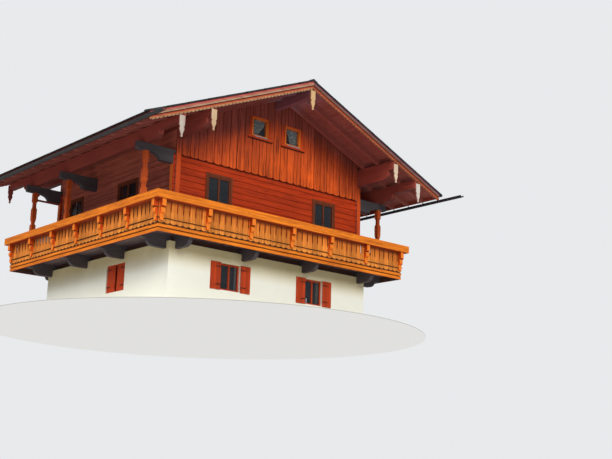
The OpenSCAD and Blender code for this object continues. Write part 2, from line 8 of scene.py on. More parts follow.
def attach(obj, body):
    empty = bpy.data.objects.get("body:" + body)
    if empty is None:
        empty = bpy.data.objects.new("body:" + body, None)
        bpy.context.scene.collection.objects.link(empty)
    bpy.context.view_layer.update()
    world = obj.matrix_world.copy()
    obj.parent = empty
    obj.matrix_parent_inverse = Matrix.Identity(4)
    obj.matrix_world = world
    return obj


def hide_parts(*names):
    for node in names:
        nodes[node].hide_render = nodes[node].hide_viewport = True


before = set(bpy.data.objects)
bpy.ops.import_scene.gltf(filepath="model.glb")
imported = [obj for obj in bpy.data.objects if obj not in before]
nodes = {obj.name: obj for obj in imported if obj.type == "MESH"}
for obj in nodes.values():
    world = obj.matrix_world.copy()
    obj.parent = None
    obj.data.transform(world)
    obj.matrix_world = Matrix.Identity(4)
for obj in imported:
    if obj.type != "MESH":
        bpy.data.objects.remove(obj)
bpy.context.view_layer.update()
print("frame loaded", len(nodes), "nodes")

# Sizes shared with the part
halfW, halfL = 4.4, 4.06                      # from the middle to the log walls' outer faces
deckZ, courseH = 2.6, 0.22                    # top of the balcony floor, height of a log
gableTop, sideTop = 5.46, 6.34                # tops of the gable's logs and of the boards at its two sides
slope = math.tan(math.radians(22.9))          # how far the roof falls over one metre
ridgeZ, coverX, coverY = 8.776, 7.0, 6.168    # the covering: height of its ridge, reach to the sides and the gables
masonryOut = 0.16                             # the masonry stands this far outside the logs
attic = {"x": 0.79, "holeW": 0.704, "holeZ": (6.903, 7.593)}         # the attic windows' middles and holes
railX, railFront, railBack, railMiddle = 5.673, 5.174, 5.388, 0.107  # the railings' outer faces and middle
eavesPitch, gablePitch, eavesShift = 0.2445, 11.13 / 45, 0.0165      # railing boards, about seven in a bay


def roofZ(x):
    return ridgeZ - slope * np.abs(x)


# Camera at the photograph's viewing angle: yaw turns it from +Y towards +X and pitch lifts it, in degrees
view = {"place": (-23.443, -32.889, -5.228), "yaw": 41.023, "pitch": 13.314, "roll": 1.538, "lens": 61.113,
        "sensor": 36, "clip": (0.5, 400)}


def makeCamera():
    yaw, pitch, roll = (math.radians(view[angle]) for angle in ("yaw", "pitch", "roll"))
    forward = Vector((math.sin(yaw) * math.cos(pitch), math.cos(yaw) * math.cos(pitch), math.sin(pitch)))
    right = Vector((math.cos(yaw), -math.sin(yaw), 0))
    up = right.cross(forward)
    across = right * math.cos(roll) + up * math.sin(roll)
    upward = up * math.cos(roll) - right * math.sin(roll)
    data = bpy.data.cameras.new("camera")
    data.sensor_fit, data.sensor_width, data.lens = "HORIZONTAL", view["sensor"], view["lens"]
    data.clip_start, data.clip_end = view["clip"]
    camera = bpy.data.objects.new("camera", data)
    rows = [(a, u, -f, place) for a, u, f, place in zip(across, upward, forward, view["place"])]
    camera.matrix_world = Matrix([*rows, (0, 0, 0, 1)])
    bpy.context.scene.collection.objects.link(camera)
    bpy.context.scene.camera = camera


makeCamera()


# Colours are given as sRGB numbers from 0 to 255 and turned into linear ones
def rgb(r, g, b):
    c = np.array([r, g, b]) / 255
    return (*np.where(c <= 0.04045, c / 12.92, ((c + 0.055) / 1.055) ** 2.4).tolist(), 1)


# A colour times one share, or times a share for each of red, green and blue
def scaled(colour, *shares):
    shares = shares * 3 if len(shares) == 1 else shares
    return (*(min(c * s, 1.0) for c, s in zip(colour, shares)), 1)


# A small builder for node trees: each call adds one node and returns its output
class Tree:
    def __init__(self, name):
        self.material = bpy.data.materials.new(name)
        self.material.use_nodes = True
        self.tree = self.material.node_tree
        self.shader = self.tree.nodes["Principled BSDF"]
        self.object = self.add("ShaderNodeTexCoord").outputs["Object"]
        split = self.add("ShaderNodeSeparateXYZ", {0: self.object})
        self.axis = {"x": split.outputs[0], "y": split.outputs[1], "z": split.outputs[2]}

    def add(self, kind, inputs=None, **settings):
        node = self.tree.nodes.new(kind)
        for key, value in settings.items():
            setattr(node, key, value)
        for key, value in (inputs or {}).items():
            if isinstance(value, bpy.types.NodeSocket):
                self.tree.links.new(value, node.inputs[key])
            else:
                node.inputs[key].default_value = value
        return node

    def math(self, operation, a, b=0.0):
        return self.add("ShaderNodeMath", {0: a, 1: b}, operation=operation).outputs[0]

    def times(self, a, b):
        return self.math("MULTIPLY", a, b)

    def plus(self, a, b):
        return self.math("ADD", a, b)

    def minus(self, a, b):
        return self.math("SUBTRACT", a, b)

    def size(self, a):
        return self.math("ABSOLUTE", a)

    def stretched(self, x, y, z):
        return self.add("ShaderNodeMapping", {"Vector": self.object, "Scale": (x, y, z)}).outputs[0]

    # Space for grain that runs along one axis: a small scale along it, a large one across it
    def grained(self, along, lengthwise, crosswise):
        return self.stretched(*[lengthwise if a == along else crosswise for a in "xyz"])

    def noise(self, vector, scale, detail=3.0, roughness=0.55, distortion=0.0):
        return self.add("ShaderNodeTexNoise", {"Vector": vector, "Scale": scale, "Detail": detail,
                        "Roughness": roughness, "Distortion": distortion}).outputs[0]

    def ramp(self, value, stops):
        node = self.add("ShaderNodeValToRGB", {0: value})
        ramp = node.color_ramp
        while len(ramp.elements) < len(stops):
            ramp.elements.new(0.5)
        for element, (position, colour) in zip(ramp.elements, stops):
            element.position = position
            element.color = colour if hasattr(colour, "__len__") else (colour, colour, colour, 1)
        return node.outputs[0]

    def mix(self, share, a, b, blend="MIX"):
        return self.add("ShaderNodeMix", {0: share, 6: a, 7: b}, data_type="RGBA", blend_type=blend).outputs[2]

    # 0 at low and before it, 1 at high and past it
    def between(self, value, low, high):
        return self.add("ShaderNodeMapRange", {0: value, 1: low, 2: high}).outputs[0]

    def random(self, value):
        return self.add("ShaderNodeTexWhiteNoise", {"W": value}, noise_dimensions="1D").outputs[0]

    def normal(self, axis):
        split = self.add("ShaderNodeSeparateXYZ", {0: self.add("ShaderNodeNewGeometry").outputs["Normal"]})
        return split.outputs["xyz".index(axis)]

    # How fully a face points a given way: down, along an axis, off it, out of the railing or towards the house
    def facing(self, way, axis):
        if way == "rail":
            # The railing runs along y beyond its long sides' inner x, and along x elsewhere
            eaves = self.between(self.size(self.axis["x"]), railX - 0.018, railX - 0.001)
            gable = self.times(self.minus(1.0, eaves), self.size(self.normal("y")))
            eaves = self.times(eaves, self.size(self.normal("x")))
            return self.between(self.math("MAXIMUM", eaves, gable), 0.6, 0.85)
        n = self.normal(axis)
        if way == "down":
            return self.between(n, -0.3, -0.6)
        if way == "along":
            return self.between(self.size(n), 0.75, 0.9)
        if way == "off":
            return self.between(self.size(n), 0.85, 0.6)
        return self.between(self.times(n, self.math("SIGN", self.axis[axis])), 0.3, -0.1)

    def finish(self, colour, rough, height=None, strength=0.3, distance=0.01):
        links = self.tree.links
        links.new(colour, self.shader.inputs["Base Color"])
        if isinstance(rough, bpy.types.NodeSocket):
            links.new(rough, self.shader.inputs["Roughness"])
        else:
            self.shader.inputs["Roughness"].default_value = rough
        if height is not None:
            bump = self.add("ShaderNodeBump", {"Height": height, "Strength": strength, "Distance": distance})
            links.new(bump.outputs[0], self.shader.inputs["Normal"])
        return self.material


# Rows of boards or logs: the place across them, counted in pitches, gives each one a number and so a tone. Joints
# darken its edges. On cover boards groove darkens the middle line and edge the edges
def boardRows(t, across, pitch, offset, side, joint, groove, edge):
    position = t.math("DIVIDE", t.minus(t.axis[across], offset), pitch)
    number = t.math("FLOOR", position)
    if side:                                  # the opposite wall takes other tones
        number = t.plus(number, t.times(t.math("SIGN", t.axis[side]), 57.3))
    fromMiddle = t.size(t.minus(t.math("FRACT", position), 0.5))
    mask = None
    if joint:
        mask = t.between(fromMiddle, 0.5 - joint / pitch, 0.5 - joint / pitch * 0.35)
    if groove:
        mask = t.math("MAXIMUM", t.times(t.between(fromMiddle, 0.022, 0.010), groove),
                      t.times(t.between(fromMiddle, 0.445, 0.485), edge))
    return t.random(number), mask


# Colour by place, with stops for both slopes or for the left and the right one. They lie along the depth below the
# roof (roof, and gable with an uneven edge), the distance from the ridge line (ridge) or the height (height)
def byPlace(t, profile, streaks):
    kind, *sides = profile
    level = t.axis["z"] if kind == "height" else t.size(t.axis["x"])
    if kind in ("roof", "gable"):
        level = t.minus(ridgeZ, t.plus(t.axis["z"], t.times(level, slope)))
    if kind == "gable":
        # Painted shade of the roof's overhang reaches further down on the left, and its edge follows the grain
        level = t.plus(level, t.times(t.between(t.axis["x"], -0.2, 2.2), 0.65))
        level = t.plus(level, t.times(t.minus(streaks, 0.5), 0.9))
    shades = []
    for stops in sides:
        low, high = stops[0][0], stops[-1][0]
        shades.append(t.ramp(t.between(level, low, high), [((p - low) / (high - low), c) for p, c in stops]))
    base = shades[0] if len(shades) == 1 else t.mix(t.between(t.axis["x"], -0.002, 0.002), *shades)
    return base, level


# What all woods share. Grain is noise in broad and fine streaks, each with scale, detail, roughness and distortion.
# It takes the colour down to dark and up to light, as shares of red, green and blue
woodLook = {
    "lengthwise": 0.9, "crosswise": 16.0, "broad": (0.9, 3.0, 0.6, 0.6), "fine": (5.5, 4.0, 0.65),
    "broadShare": 0.62, "fineShare": 0.38, "dark": (0.42, 0.5, 0.5), "light": (0.38, 0.52, 0.58),
    "gain": 1.6,                              # ramps hold factors below one, so the colour is lifted first
    # A darker colour for knots, stains, cracks and joints, also used for painted shade in notches and bands
    "grimeAndShade": (0.30, 0.26, 0.28), "stain": 0.25, "rough": 0.51, "roughRise": 0.18, "specular": 0.2,
    "bump": 0.25, "bumpDepth": 0.012,
}


# Wood: streaked grain along one axis, with board tones, joints, knots and weather stains.
# boards gives the axis across the boards and their pitch; ends colours end grain and faces those that point a
# given way, mostly as painted shade on undersides, inner faces and reveals and as painted light on outward faces;
# profile changes the colour by place; groove darkens each board's middle line and edge its edges; cracks are thin
# dark lines along the grain, notches paint shade into the gaps between scallops below a depth and bands paint
# shade lines at given heights
def wood(name, colour, along="x", boards=None, joint=0.0, offset=0.0, side=None, groove=0.0, edge=0.0, streak=1.0,
         spread=0.25, knots=0.5, contrast=1.0, cracks=0.0, profile=None, notches=None, shadeBands=(), ends=None, faces=()):
    t = Tree(name)
    grainSpace = t.grained(along, woodLook["lengthwise"], woodLook["crosswise"])
    boardTone, jointMask = boardRows(t, *boards, offset, side, joint, groove, edge) if boards else (None, None)
    if boards:                                # each board is cut from another place of the grain
        shift = t.add("ShaderNodeCombineXYZ", {i: t.times(boardTone, s) for i, s in enumerate((31.0, 17.0, 23.0))})
        grainSpace = t.add("ShaderNodeVectorMath", {0: grainSpace, 1: shift.outputs[0]}, operation="ADD").outputs[0]
    broad, fine = t.noise(grainSpace, *woodLook["broad"]), t.noise(grainSpace, *woodLook["fine"])
    grain = t.plus(t.times(broad, woodLook["broadShare"]), t.times(fine, woodLook["fineShare"] * streak))
    base, level = byPlace(t, profile, broad) if profile else (colour, None)
    gain = woodLook["gain"]
    dark = [(1 - c * contrast) / gain for c in woodLook["dark"]] + [1]
    light = [(1 + c * contrast) / gain for c in woodLook["light"]] + [1]
    tint = t.mix(1.0, base, (gain, gain, gain, 1), "MULTIPLY")
    tint = t.mix(1.0, tint, t.ramp(grain, [(0.30, dark), (0.50, 1 / gain), (0.70, light)]), "MULTIPLY")
    if boards:
        lift = t.plus(t.times(boardTone, 1.6 * spread), 1 - spread)
        tint = t.mix(1.0, tint, lift, "MULTIPLY")
    # Darker colour for knots, stains, cracks and joints, and for painted shade in notches and bands
    grimeAndShade = scaled(colour, *woodLook["grimeAndShade"])
    if knots:
        knotSpace = t.grained(along, 2.0, 5.5)
        distance = t.add("ShaderNodeTexVoronoi", {"Vector": knotSpace, "Scale": 0.8}).outputs["Distance"]
        tint = t.mix(t.times(t.between(distance, 0.13, 0.05), knots), tint, scaled(grimeAndShade, 0.7))
    weather = t.noise(t.object, 0.7, 4.0, 0.65)
    tint = t.mix(t.times(t.between(weather, 0.45, 0.75), woodLook["stain"]), tint, grimeAndShade)
    if cracks:
        lines = t.noise(t.grained(along, 0.8, 34.0), 1.0, 2.0, 0.5)
        tint = t.mix(t.times(t.between(lines, 0.56, 0.64), cracks), tint, grimeAndShade)
    height = grain
    if jointMask is not None:
        tint = t.mix(t.times(jointMask, 0.8), tint, scaled(grimeAndShade, 0.25))
        height = t.minus(grain, t.times(jointMask, 2.0))
    # Painted shade in the gaps between the scallops' tips
    if notches:
        low, pitch = notches
        beside = t.size(t.minus(t.math("FRACT", t.math("DIVIDE", t.size(t.axis["x"]), pitch)), 0.5))
        notch = t.times(t.between(beside, 0.32, 0.42), t.between(level, low, low + 0.012))
        tint = t.mix(t.times(notch, 0.85), tint, scaled(grimeAndShade, 0.4))
    # Painted shade lines at given heights, with wavy edges
    for low, high, share in shadeBands:
        wave = t.times(t.minus(t.noise(t.stretched(6, 6, 1), 1.5), 0.5), 0.04)
        level = t.plus(t.axis["z"], wave)
        band = t.times(t.between(level, low - 0.012, low + 0.012), t.between(level, high + 0.006, high - 0.006))
        tint = t.mix(t.times(band, share), tint, scaled(grimeAndShade, 0.35))
    if ends:
        rings = t.add("ShaderNodeTexWave", {"Vector": t.stretched(6, 6, 6), "Scale": 1.6, "Distortion": 2.5},
                      wave_type="RINGS").outputs[1]
        tint = t.mix(t.facing("along", along), tint, t.mix(rings, ends, scaled(ends, 0.75)))
    # Faces that point a given way take another colour: mostly painted shade on undersides, inner faces and reveals,
    # painted light on outward faces
    for way, axis, shade in faces:
        tint = t.mix(t.facing(way, axis), tint, t.mix(grain, scaled(shade, 0.65), scaled(shade, 1.35)))
    t.shader.inputs["Specular IOR Level"].default_value = woodLook["specular"]
    roughness = t.plus(t.times(t.between(grain, 0.2, 0.8), woodLook["roughRise"]), woodLook["rough"])
    return t.finish(tint, roughness, height, woodLook["bump"], woodLook["bumpDepth"])


# Lime render with trowel marks, paler below the balcony's shade as painted light, and damp near the ground
def render(name, colour, shade, litBelow=None):
    t = Tree(name)
    cloud = t.noise(t.object, 0.6, 5.0, 0.6)
    grit = t.noise(t.object, 70.0, 3.0, 0.7)
    trowel = t.noise(t.stretched(1, 1, 2.2), 6.0, 4.0, 0.6, 0.6)
    base = t.mix(t.between(cloud, 0.35, 0.7), colour, shade)
    # Painted light: paler towards the foot, below the balcony's shade
    if litBelow:
        base = t.mix(t.times(t.between(t.axis["z"], 2.1, 1.45), 0.75), base, litBelow)
    damp = t.times(t.between(t.plus(t.axis["z"], t.times(cloud, 0.8)), 0.75, 0.2), 0.5)
    base = t.mix(damp, base, scaled(shade, 0.45))
    base = t.mix(t.times(t.between(trowel, 0.6, 0.8), 0.12), base, shade)
    return t.finish(base, 0.93, t.plus(t.times(grit, 0.5), trowel), 0.35, 0.012)


# Metal with worn clouds and streaks, and painted shade on the faces towards the house where a shade colour is given
def metal(name, colour, worn, metallic, insideShade=None):
    t = Tree(name)
    cloud = t.noise(t.object, 3.0, 5.0, 0.65)
    streaks = t.noise(t.stretched(12, 1.5, 12), 2.0, 4.0, 0.6)
    base = t.mix(t.between(cloud, 0.4, 0.75), colour, worn)
    base = t.mix(t.times(t.between(streaks, 0.5, 0.8), 0.4), base, scaled(colour, 0.6))
    if insideShade:
        base = t.mix(t.facing("inward", "x"), base, insideShade)
    t.shader.inputs["Metallic"].default_value = metallic
    return t.finish(base, t.between(cloud, -0.6, 1.4), cloud, 0.08, 0.004)


# Fibre-cement tiles: one tone a tile of 0.30 m, lichen in clouds
def tile(name, colour, lichen):
    t = Tree(name)
    row, column = (t.math("FLOOR", t.math("DIVIDE", t.axis[a], 0.30)) for a in "xy")
    number = t.plus(t.times(row, 13.7), t.times(column, 3.1))
    base = t.mix(1.0, scaled(colour, 1.7), t.ramp(t.random(number), [(0.0, 0.4), (1.0, 1.0)]), "MULTIPLY")
    cloud = t.noise(t.object, 2.2, 6.0, 0.7)
    base = t.mix(t.times(t.between(cloud, 0.52, 0.68), 0.75), base, lichen)
    return t.finish(base, 0.82, t.noise(t.object, 60.0, 3.0, 0.6), 0.2, 0.004)


# Window glass: partly clear, with faint clouds of dust
def glass(name):
    t = Tree(name)
    cloud = t.noise(t.object, 1.4, 3.0, 0.5)
    t.shader.inputs["Alpha"].default_value = 0.23
    t.shader.inputs["Specular IOR Level"].default_value = 1.0
    return t.finish(t.mix(cloud, rgb(38, 46, 52), rgb(70, 82, 88)), t.times(cloud, 0.12))


# Net curtain: an open weave with a worked pattern, shaded in its folds and below the window's head
def cloth(name):
    t = Tree(name)
    weave = t.add("ShaderNodeTexVoronoi", {"Vector": t.object, "Scale": 26.0}).outputs["Distance"]
    folds = t.noise(t.stretched(14, 3, 1.5), 3.0, 3.0, 0.5)
    base = t.mix(t.between(weave, 0.25, 0.5), rgb(253, 255, 246), rgb(138, 148, 140))
    base = t.mix(t.times(t.between(folds, 0.4, 0.7), 0.3), base, rgb(164, 174, 168))
    base = t.mix(t.between(t.axis["z"], 7.1, 7.55), base, t.mix(1.0, base, (0.8, 0.8, 0.83, 1), "MULTIPLY"))
    return t.finish(base, 0.9, weave, 0.2, 0.002)


# One middle colour for each wood
tone = {name: rgb(*numbers) for name, numbers in {
    "honey": (220, 118, 25), "panel": (217, 124, 43), "carved": (180, 76, 24), "logs": (183, 54, 8),
    # sideLogs are the gable's logs made paler and greyer for the light on the eaves walls: painted light
    "sideLogs": (184, 95, 74), "underBoards": (110, 34, 14), "purlins": (145, 65, 53), "ridge": (120, 67, 71),
    # consoles, joists and deck are dark grey as painted shade under the roof and the balcony
    "consoles": (72, 66, 67), "joists": (82, 74, 76), "soffit": (144, 72, 61), "brown": (110, 50, 24),
    "paint": (190, 64, 22), "floor": (140, 84, 44), "deck": (108, 92, 93), "inner": (127, 57, 50),
    "gableEnds": (250, 120, 48), "eavesEnds": (214, 80, 24), "rim": (84, 56, 50), "under": (160, 60, 24),
    "nose": (244, 122, 32), "reveal": (62, 24, 16), "purlinUnder": (104, 46, 38), "cover": (180, 74, 34),
    "upperVerge": (170, 120, 96), "lowerVerge": (186, 112, 78), "pendants": (190, 170, 140),
    "golden": (199, 107, 33), "trims": (196, 66, 18), "lowRail": (46, 32, 32),
}.items()}


# Stops of a colour that changes by place, each a depth, distance or height with its sRGB numbers
def fade(kind, *sides):
    return kind, *[[(stop[0], rgb(*stop[1:])) for stop in stops] for stops in sides]


# The gable carries painted shade, dark under the roof's overhang and paler below it. Each verge board has painted
# shade at its upper edge and along the joint between the boards, is red below that and paler lower down, and is
# darker on the right slope
gableFade = fade("gable", [(0.95, 125, 55, 44), (1.5, 168, 61, 25), (2.7, 197, 75, 18)])
# Painted shade: dark under the roof's edge at the upper board's top, and along the lap joint between the boards
upperVerge = fade("roof",
                  [(0.045, 116, 42, 44), (0.062, 176, 66, 56), (0.077, 172, 80, 62), (0.109, 176, 104, 92),
                   (0.135, 160, 98, 80), (0.165, 172, 146, 110), (0.188, 160, 118, 90), (0.195, 44, 18, 16)],
                  [(0.045, 70, 38, 42), (0.078, 97, 45, 54), (0.11, 116, 74, 76), (0.143, 116, 93, 80),
                   (0.176, 100, 69, 46), (0.195, 84, 40, 28)])
lowerVerge = fade("roof",
                  [(0.217, 44, 18, 16), (0.226, 172, 62, 42), (0.25, 176, 78, 48), (0.275, 176, 102, 64),
                   (0.305, 178, 126, 86), (0.35, 150, 122, 94)],
                  [(0.205, 90, 38, 26), (0.22, 130, 48, 30), (0.241, 164, 54, 32), (0.274, 152, 84, 46),
                   (0.307, 139, 80, 48), (0.35, 122, 68, 44)])
# Painted light on the soffit: purple bounce light near the ridge, and brighter towards the eaves
ridgeShade = fade("ridge", [(0.2, 136, 92, 98), (1.1, 136, 66, 57), (4.0, 140, 68, 58), (5.2, 148, 80, 68)])
pendantFade = fade("ridge", [(0.1, 202, 162, 112), (4.0, 196, 160, 115), (5.4, 178, 162, 147)],
                   [(0.1, 202, 162, 112), (4.0, 200, 170, 138), (5.4, 198, 186, 172)])
postFade = fade("height", [(3.55, 210, 100, 26), (3.95, 182, 74, 24), (4.6, 170, 68, 24)])
bracketFade = fade("height", [(3.0, 200, 74, 8), (3.386, 176, 56, 14)])
# Painted shadow of the trough darkens the railing boards' upper part
railFade = fade("height", [(2.6, 222, 134, 52), (3.0, 222, 128, 46), (3.25, 206, 112, 38), (3.35, 168, 84, 36),
                           (3.386, 120, 52, 28)])
# Painted shadow at the foot of the sills, and painted shade of the roof's overhang darkening the frames upwards
windowFade = fade("height", [(6.751, 36, 14, 10), (6.772, 56, 20, 12), (6.786, 176, 48, 12), (6.86, 196, 76, 24),
                             (6.866, 228, 122, 40), (7.25, 210, 104, 34), (7.55, 196, 92, 32), (7.633, 196, 80, 34)])
# Painted shade of the roof's overhang darkens the trims upwards
trimFade = fade("height", [(6.86, 206, 70, 14), (7.3, 176, 56, 18), (7.62, 140, 54, 26)])
# Settings that two materials share. A band of painted shade is a low and a high height and how much of the shade
# colour it takes
logLook = {"offset": deckZ, "spread": 0.18, "cracks": 0.3}
soffitLook = {"contrast": 0.6, "spread": 0.1, "profile": ridgeShade}
# Bands of painted shade in the fillet between the fascia boards and along the fascias' top below the railing
honeyLook = {"knots": 0.35, "cracks": 0.25, "contrast": 1.15, "shadeBands": [(2.434, 2.472, 0.85), (2.562, 2.60, 0.85)]}
# The band below the ledge is its painted shadow
panelLook = {"knots": 0.35, "cracks": 0.35, "profile": railFade, "shadeBands": [(2.748, 2.779, 0.9)]}
# Inner faces of the verge boards and pendants are darker, partly a darker stain and partly painted shade
vergeInside = [("inward", "y", tone["inner"])]
print("materials started")
makeMaterial = {
    "ground_walls_gable": lambda: render("lime_render", rgb(230, 214, 166), rgb(210, 193, 141), rgb(248, 251, 242)),
    "ground_floor": lambda: render("screed", rgb(150, 146, 140), rgb(128, 124, 118)),
    # The boards' sides take the dark rim colour as painted shade
    "upper_floor": lambda: wood("upper_floor_boards", tone["floor"], "y", ("x", 0.16), 0.004,
                                faces=[("off", "z", tone["rim"])]),
    "balcony_deck": lambda: wood("deck_boards", tone["deck"], "y", ("x", 0.14), 0.008),
    # The band below the cladding's lower edge is its painted shadow on the top log
    "log_walls_gable": lambda: wood("logs_gable", tone["logs"], "x", ("z", courseH), 0.008, side="y",
                                    ends=tone["gableEnds"], shadeBands=[(5.385, 5.47, 0.75)], **logLook),
    "log_walls_eaves": lambda: wood("logs_eaves", tone["sideLogs"], "y", ("z", courseH), 0.008, side="x",
                                    ends=tone["eavesEnds"], **logLook),
    "boarded_gables": lambda: wood("under_boards", tone["underBoards"], "z", ("x", 0.15)),
    # Its purplish tone is painted bounce light
    "ridge_purlin": lambda: wood("ridge_timber", tone["ridge"], "y", contrast=0.6),
    # Undersides take a darker colour as painted shade
    "wall_purlins": lambda: wood("purlin_timber", tone["purlins"], "y", contrast=0.6,
                                 faces=[("down", "z", tone["purlinUnder"])]),
    "console_beams": lambda: wood("console_timber", tone["consoles"], "x", contrast=0.5),
    "deck_joists": lambda: wood("joist_timber", tone["joists"], "x", contrast=0.5),
    "rafters_left": lambda: wood("rafters", tone["soffit"], "x", ("y", 0.404), **soffitLook),
    "roof_boards_left": lambda: wood("soffit_boards", tone["soffit"], "y", ("x", 0.13), 0.006, **soffitLook),
    "roof_cover_left": lambda: tile("roof_tiles", rgb(34, 31, 35), rgb(70, 71, 60)),
    # The verge boards take painted shade from their profiles, from the notches between scallops and on their inner
    # faces
    "barge_boards": lambda: wood("weathered_boards", tone["upperVerge"], "x", knots=0.25, profile=upperVerge,
                                 faces=vergeInside),
    "scalloped_boards": lambda: wood("tan_boards", tone["lowerVerge"], "x", knots=0.25, profile=lowerVerge,
                                     notches=(0.298, 0.15), faces=vergeInside),
    "purlin_pendants": lambda: wood("pale_boards", tone["pendants"], "z", knots=0.2, streak=1.3, contrast=0.6,
                                    profile=pendantFade, faces=vergeInside),
    # The gutters' faces towards the house take painted shade
    "gutters": lambda: metal("gutter_metal", rgb(54, 52, 51), rgb(68, 65, 64), 0.3, rgb(30, 24, 30)),
    "balcony_posts": lambda: wood("carved_timber", tone["carved"], "z", streak=1.3, contrast=1.3, cracks=0.5,
                                  profile=postFade),
    # Outward faces take the brighter nose colour as painted light, and the band is painted shade in the undercut
    "trough_brackets": lambda: wood("bracket_timber", tone["carved"], "z", profile=bracketFade,
                                    shadeBands=[(3.088, 3.136, 0.8)], faces=[("rail", "x", tone["nose"])]),
    # Inner faces and undersides of the fascias and troughs take darker colours as painted shade
    "fascia_eaves": lambda: wood("honey_along", tone["honey"], "y", **honeyLook,
                                 faces=[("inward", "x", tone["rim"]), ("down", "z", tone["under"])]),
    "fascia_gable": lambda: wood("honey_across", tone["honey"], "x", **honeyLook,
                                 faces=[("inward", "y", tone["rim"]), ("down", "z", tone["under"])]),
    # Board sides and slot reveals take the dark reveal colour as painted shade
    "railings_gable": lambda: wood("railing_gable", tone["panel"], "z", ("x", gablePitch), 0.006, **panelLook,
                                   faces=[("off", "y", tone["reveal"])]),
    "railings_eaves": lambda: wood("railing_eaves", tone["panel"], "z", ("y", eavesPitch), 0.006, **panelLook,
                                   offset=railMiddle + eavesShift + eavesPitch / 2,
                                   faces=[("off", "x", tone["reveal"])]),
    "attic_window_frames": lambda: wood("golden_frames", tone["golden"], "z", knots=0.0, profile=windowFade),
    "upper_window_frames": lambda: wood("brown_frames", tone["brown"], "z", knots=0.0),
    "ground_shutters": lambda: wood("red_brown_paint", tone["paint"], "z", ("x", 0.1075), 0.004, knots=0.1,
                                    contrast=0.6),
    "window_glass": lambda: glass("window_glass"),
}
# Nodes that take the material of the first one
shared = {
    "ground_walls_gable": ["ground_walls_eaves"], "upper_floor": ["attic_floor"],
    "wall_purlins": ["outer_purlins", "saddle_logs", "eave_boards", "tie_rails"],
    "rafters_left": ["rafters_right"], "roof_boards_left": ["roof_boards_right", "rafter_infill"],
    "roof_cover_left": ["roof_cover_right", "ridge_cap"],
    "fascia_eaves": ["flower_troughs_eaves"], "fascia_gable": ["flower_troughs_gable"],
    "upper_window_frames": ["balcony_doors"], "ground_shutters": ["ground_window_frames", "entrance_door"],
}
materials = {}
for first, make in makeMaterial.items():
    material = make()
    for name in [first, *shared.get(first, [])]:
        materials[name] = material
        mesh = nodes[name].data
        mesh.materials.clear()
        mesh.materials.append(material)
print("materials made", len(makeMaterial), "nodes without one", sorted(set(nodes) - set(materials)))


# A new piece from parts of points and faces, each part's faces counted on from the points before it
def newPiece(name, parts, material, replaced=()):
    points, faces, start = [], [], 0
    for p, f in parts:
        points.append(np.asarray(p, float))
        faces.extend((np.asarray(f) + start).tolist() if isinstance(f, np.ndarray)
                     else [[i + start for i in face] for face in f])
        start += len(p)
    mesh = bpy.data.meshes.new(name)
    mesh.from_pydata(np.vstack(points).tolist(), [], faces)
    mesh.validate()
    mesh.materials.append(material)
    piece = bpy.data.objects.new(name, mesh)
    bpy.context.scene.collection.objects.link(piece)
    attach(piece, "root")
    if replaced:
        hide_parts(*replaced)
    print(name, len(faces), "faces")
    return piece


boxFaces = np.array([[0, 3, 2, 1], [4, 5, 6, 7], [0, 1, 5, 4], [1, 2, 6, 5], [2, 3, 7, 6], [3, 0, 4, 7]])
boxCorners = np.array([[0, 0, 0], [1, 0, 0], [1, 1, 0], [0, 1, 0], [0, 0, 1], [1, 0, 1], [1, 1, 1], [0, 1, 1]])


# Boxes from rows of low x, y, z and high x, y, z: each corner is the low one plus 0 or 1 times the size
def boxes(rows):
    rows = np.atleast_2d(np.asarray(rows, float))
    points = rows[:, None, :3] + boxCorners[None] * (rows[:, 3:] - rows[:, :3])[:, None]
    return points.reshape(-1, 3), (boxFaces[None] + 8 * np.arange(len(rows))[:, None, None]).reshape(-1, 4)


# A row for boxes: a middle and half a width along x, then a low and a high y and z
def bar(middle, half, y, z):
    return [middle - half, y[0], z[0], middle + half, y[1], z[1]]


# Rows given about a middle x and a face's y, moved there
def moved(rows, x, y):
    return boxes(np.array(rows) + [x, y, 0, x, y, 0])


# A prism from an outline in x and z, counted counter-clockwise as seen from -Y, between two depths
def prism(outline, y0, y1):
    outline = np.asarray(outline, float)
    n = len(outline)
    front = np.column_stack([outline[:, 0], np.full(n, y0), outline[:, 1]])
    k = np.arange(n)
    sides = np.column_stack([k, n + k, n + (k + 1) % n, (k + 1) % n])
    return np.vstack([front, front + [0, y1 - y0, 0]]), [list(k), list(range(2 * n - 1, n - 1, -1)), *sides.tolist()]


# Round heads facing -Y at the given centres: a ring of cosines and sines before it and one sunk 4 mm behind it
def heads(centres, radius, proud, sides=8):
    centres = np.atleast_2d(np.asarray(centres, float))
    angle = np.linspace(0, 2 * math.pi, sides, endpoint=False)
    ring = np.column_stack([radius * np.cos(angle), np.zeros(sides), radius * np.sin(angle)])
    outer, backs = ring - [0, proud, 0], ring + [0, 0.004, 0]
    points = (centres[:, None] + np.vstack([outer, backs])[None]).reshape(-1, 3)
    k = np.arange(sides)
    side = np.column_stack([k, sides + k, sides + (k + 1) % sides, (k + 1) % sides])
    faces = []
    for i in range(len(centres)):
        s = 2 * sides * i
        faces += [list(k + s), list(k[::-1] + sides + s), *(side + s).tolist()]
    return points, faces


# Wall sides 0 front, 1 right, 2 back, 3 left: x runs right as seen from outside, y inward from the log face
def onWall(side, part):
    x, y, z = np.asarray(part[0], float).T
    placed = [(x, y - halfL), (halfW - y, x), (-x, halfL - y), (y - halfW, -x)][side]
    return np.column_stack([*placed, z]), part[1]


